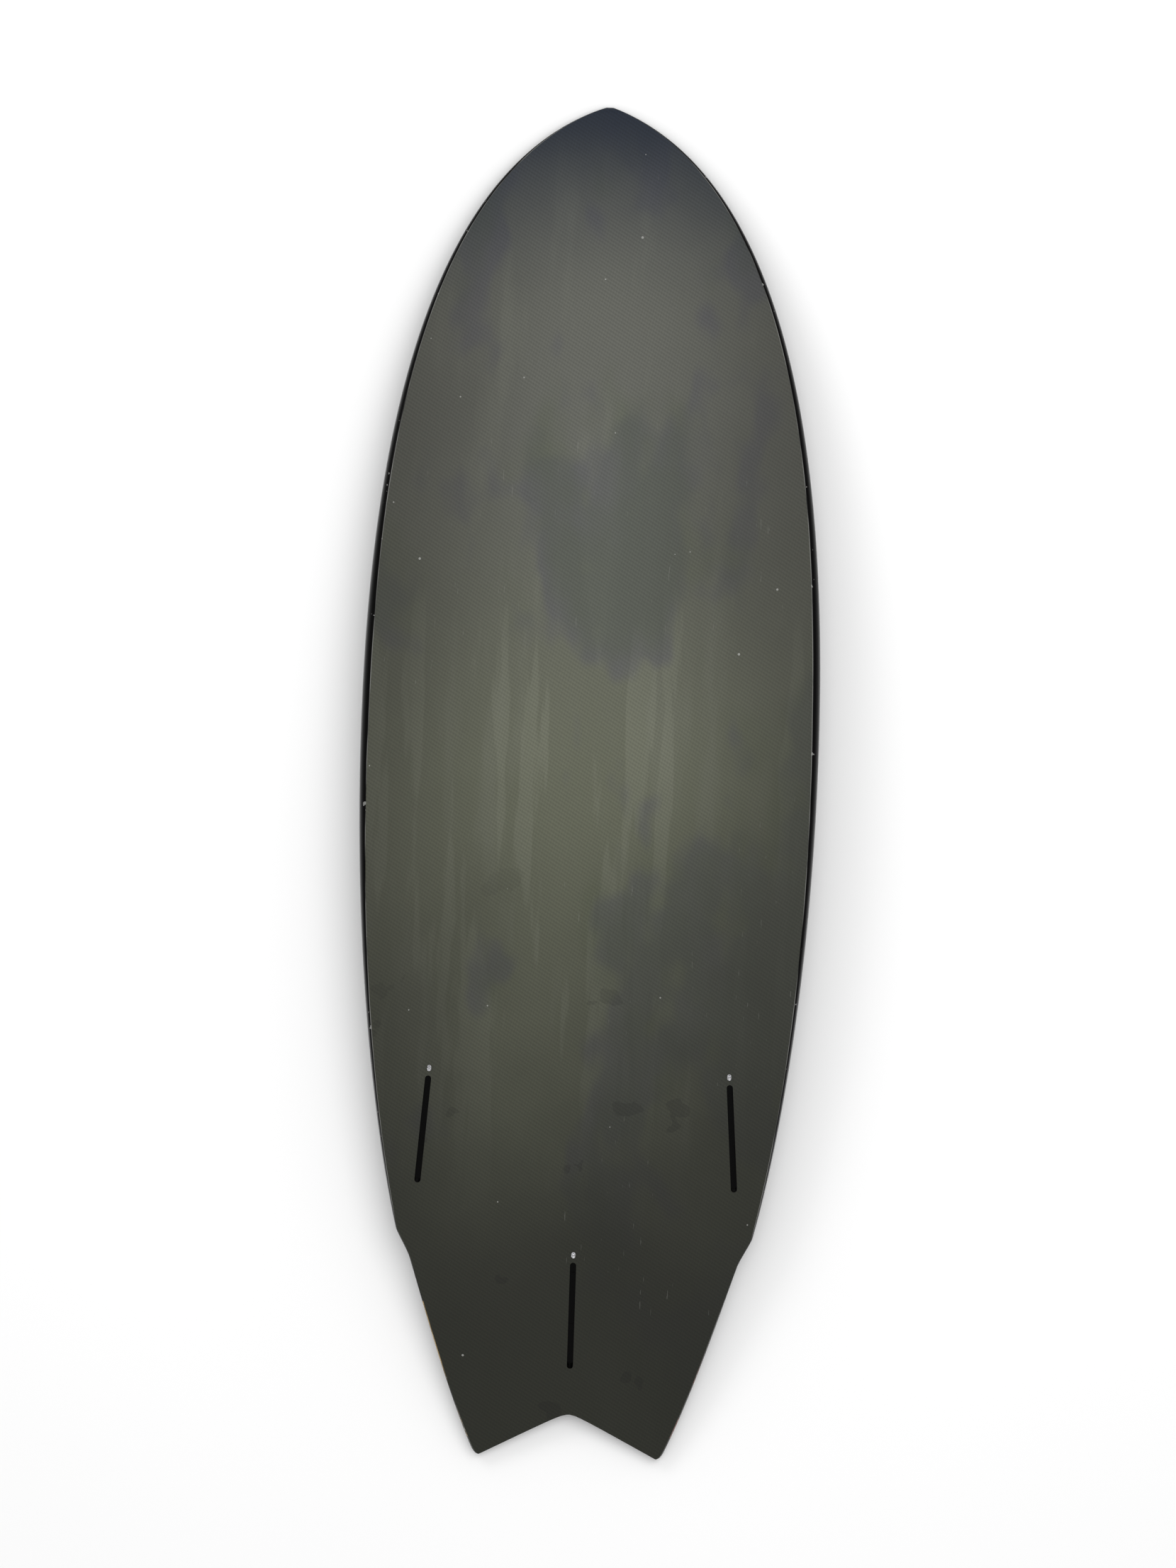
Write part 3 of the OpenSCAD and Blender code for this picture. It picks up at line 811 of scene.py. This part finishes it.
def screw_tree():
    """Geometry Nodes: a shank with a socket and a real helical thread."""
    tree = bpy.data.node_groups.new("set_screw", "GeometryNodeTree")
    face = tree.interface
    for name, size in (("Diameter", SCREW_DIAMETER), ("Length", SCREW_LENGTH), ("Pitch", SCREW_PITCH)):
        socket = face.new_socket(name, in_out="INPUT", socket_type="NodeSocketFloat")
        socket.default_value = size * MM
    face.new_socket("Finish", in_out="INPUT", socket_type="NodeSocketMaterial")
    face.new_socket("Geometry", in_out="OUTPUT", socket_type="NodeSocketGeometry")
    given = tree.nodes.new("NodeGroupInput")

    def node(kind, settings=None, values=None):
        made = tree.nodes.new(kind)
        for key, setting in (settings or {}).items():
            setattr(made, key, setting)
        for key, value in (values or {}).items():
            if isinstance(value, bpy.types.NodeSocket):
                tree.links.new(value, made.inputs[key])
            else:
                made.inputs[key].default_value = value
        return made

    def maths(operation, a, b):
        return node("ShaderNodeMath", {"operation": operation}, {0: a, 1: b}).outputs[0]

    diameter, length, pitch = given.outputs[0], given.outputs[1], given.outputs[2]
    root = maths("SUBTRACT", maths("MULTIPLY", diameter, 0.5), THREAD_DEPTH * MM)
    shank = node("GeometryNodeMeshCylinder", None, {"Vertices": 48, "Radius": root, "Depth": length})
    hexagon = node("GeometryNodeMeshCylinder", None,
                   {"Vertices": 6, "Radius": HEX_RADIUS * MM, "Depth": HEX_CUTTER * MM})
    top = node("ShaderNodeCombineXYZ", None, {2: maths("MULTIPLY", length, 0.5)})
    hexagon = node("GeometryNodeTransform", None,
                   {"Geometry": hexagon.outputs[0], "Translation": top.outputs[0]})
    cut = node("GeometryNodeMeshBoolean", {"operation": "DIFFERENCE"}, {0: shank.outputs[0]})
    tree.links.new(hexagon.outputs[0], cut.inputs[1])
    rise = maths("SUBTRACT", length, THREAD_RUNOUT * MM)
    coil = node("GeometryNodeCurveSpiral", None,
                {"Resolution": 40, "Rotations": maths("DIVIDE", rise, pitch), "Start Radius": root,
                 "End Radius": root, "Height": rise})
    drop = node("ShaderNodeCombineXYZ", None, {2: maths("MULTIPLY", rise, -0.5)})
    coil = node("GeometryNodeTransform", None,
                {"Geometry": coil.outputs[0], "Translation": drop.outputs[0]})
    profile = node("GeometryNodeCurvePrimitiveCircle", None,
                   {"Resolution": 6, "Radius": THREAD_RADIUS * MM})
    thread = node("GeometryNodeCurveToMesh", None,
                  {"Curve": coil.outputs[0], "Profile Curve": profile.outputs[0], "Fill Caps": True})
    joined = node("GeometryNodeJoinGeometry")
    tree.links.new(cut.outputs[0], joined.inputs[0])
    tree.links.new(thread.outputs[0], joined.inputs[0])
    real = node("GeometryNodeRealizeInstances", None, {0: joined.outputs[0]})
    painted = node("GeometryNodeSetMaterial", None,
                   {"Geometry": real.outputs[0], "Material": given.outputs[3]})
    end = tree.nodes.new("NodeGroupOutput")
    tree.links.new(painted.outputs[0], end.inputs[0])
    return tree


class SHORTBOARD_OT_screws(bpy.types.Operator):
    """Make the three set screws of the fin boxes"""

    bl_idname = "shortboard.screws"
    bl_label = "Fin screws"

    def execute(self, context):
        sizes, tree = context.scene.shortboard_sizes, screw_tree()
        steel = plain_finish("stainless", tuple(colours().steel), 0.24, 900.0, 1.0)
        given = {"Diameter": sizes.screw_diameter, "Length": sizes.screw_length,
                 "Pitch": sizes.screw_pitch, "Finish": steel}
        for name, box, side in BOXES:
            holder = bpy.data.objects.new("maker", bpy.data.meshes.new("maker"))
            context.scene.collection.objects.link(holder)
            modifier = holder.modifiers.new("screw", "NODES")
            modifier.node_group = tree
            for item in tree.interface.items_tree:
                if item.in_out == "INPUT":
                    modifier[item.identifier] = given[item.name]
            graph = context.evaluated_depsgraph_get()
            graph.update()
            mesh = bpy.data.meshes.new_from_object(holder.evaluated_get(graph))
            holder.modifiers.remove(modifier)
            bpy.data.objects.remove(holder)
            middle = SCREW_PROUD * MM - sizes.screw_length / 2
            place = Matrix.Scale(MM, 4) @ screw_place(box) @ Matrix.Scale(1 / MM, 4)
            mesh.transform(place @ Matrix.Translation((0, 0, middle)))
            if side < 0:
                mesh.transform(Matrix.Diagonal((-1, 1, 1, 1)))
                mesh.flip_normals()
            obj = add_object(name + "_set_screw", mesh, steel)
            smooth_shade(obj)
            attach(obj, name + "_fin_screw")
            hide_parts(name + "_fin_screw")
        return {"FINISHED"}


class SHORTBOARD_OT_fittings(bpy.types.Operator):
    """Give the boxes, plug, vent, core and stringer their finishes"""

    bl_idname = "shortboard.fittings"
    bl_label = "Fittings and core"

    def execute(self, context):
        box = plain_finish("box_plastic", (0.001, 0.001, 0.001), 0.14, 700.0, gloss=1.16)
        bar = plain_finish("bar_steel", tuple(colours().steel), 0.26, 800.0, 1.0)
        finishes = {
            "left_fin_box": box, "centre_fin_box": box, "right_fin_box": box,
            "leash_plug_cup": box, "vent_body": box, "leash_plug_bar": bar,
            "vent_screw": plain_finish("vent_plastic", (0.035, 0.035, 0.037), 0.45, 600.0),
            "vent_o_ring": plain_finish("seal_rubber", (0.012, 0.012, 0.012), 0.7, 900.0),
            "foam_core_left": plain_finish("core_foam", (0.80, 0.80, 0.76), 0.9, 320.0, 0.0, 0.4),
            "stringer": wood_finish(),
        }
        finishes["foam_core_right"] = finishes["foam_core_left"]
        for name, material in finishes.items():
            mesh = frame["nodes"][name].data
            if not mesh.materials:
                mesh.materials.append(material)
            for i in range(len(mesh.materials)):
                mesh.materials[i] = material
        return {"FINISHED"}


class SHORTBOARD_OT_stage(bpy.types.Operator):
    """Make the pale floor, the soft lights and the camera"""

    bl_idname = "shortboard.stage"
    bl_label = "Stage"

    def execute(self, context):
        bm = bmesh.new()
        bmesh.ops.create_grid(bm, x_segments=FLOOR_CELLS, y_segments=FLOOR_CELLS, size=FLOOR_SIZE)
        mesh = bpy.data.meshes.new("floor")
        bm.to_mesh(mesh)
        bm.free()
        r = Recipe("pale_floor")
        tone = r.mix(r.noise(1.5, 2.0), PALE, PALER)
        floor = add_object("floor", mesh, r.finish({"Base Color": tone, "Roughness": 0.9}))
        world = bpy.data.worlds.new("soft_room")
        world.use_nodes = True
        background = world.node_tree.nodes["Background"]
        background.inputs["Color"].default_value = (1, 1, 1, 1)
        background.inputs["Strength"].default_value = ROOM_LIGHT
        context.scene.world = world
        for name, size, place, power in LIGHTS:
            light = bpy.data.lights.new(name, "AREA")
            light.shape, light.energy = "RECTANGLE", power
            light.size, light.size_y = size
            lamp = bpy.data.objects.new(name, light)
            lamp.location = place
            lamp.rotation_euler = (-Vector(place)).to_track_quat("-Z", "Y").to_euler()
            context.scene.collection.objects.link(lamp)
        lens = bpy.data.cameras.new("view")
        lens.sensor_width, lens.lens = SENSOR, LENS
        camera = bpy.data.objects.new("view", lens)
        camera.location = (*VIEW_PLACE, context.scene.shortboard_sizes.view_height)
        camera.rotation_euler = (0, 0, math.radians(VIEW_TURN))
        context.scene.collection.objects.link(camera)
        context.scene.camera = camera
        context.scene.view_settings.view_transform = "Standard"
        return {"FINISHED"}


OPERATORS = (SHORTBOARD_OT_bottom, SHORTBOARD_OT_deck, SHORTBOARD_OT_rails, SHORTBOARD_OT_notch,
             SHORTBOARD_OT_screws, SHORTBOARD_OT_fittings, SHORTBOARD_OT_stage)


class SHORTBOARD_PT_panel(bpy.types.Panel):
    """Lists the pieces and their sizes."""

    bl_label = "Shortboard"
    bl_space_type = "VIEW_3D"
    bl_region_type = "UI"
    bl_category = "Shortboard"

    def draw(self, context):
        for group in (context.scene.shortboard_sizes, context.scene.shortboard_finish):
            for name in group.__annotations__:
                self.layout.prop(group, name)
        for operator in OPERATORS:
            self.layout.operator(operator.bl_idname)


CLASSES = (ShortboardSizes, ShortboardFinish) + OPERATORS + (SHORTBOARD_PT_panel,)


def register():
    for cls in CLASSES:
        bpy.utils.register_class(cls)
    bpy.types.Scene.shortboard_sizes = PointerProperty(type=ShortboardSizes)
    bpy.types.Scene.shortboard_finish = PointerProperty(type=ShortboardFinish)


def unregister():
    del bpy.types.Scene.shortboard_finish
    del bpy.types.Scene.shortboard_sizes
    for cls in reversed(CLASSES):
        bpy.utils.unregister_class(cls)


def main():
    register()
    for piece in ("bottom", "deck", "rails", "notch", "screws", "fittings", "stage"):
        getattr(bpy.ops.shortboard, piece)()


if __name__ == "__main__":
    main()
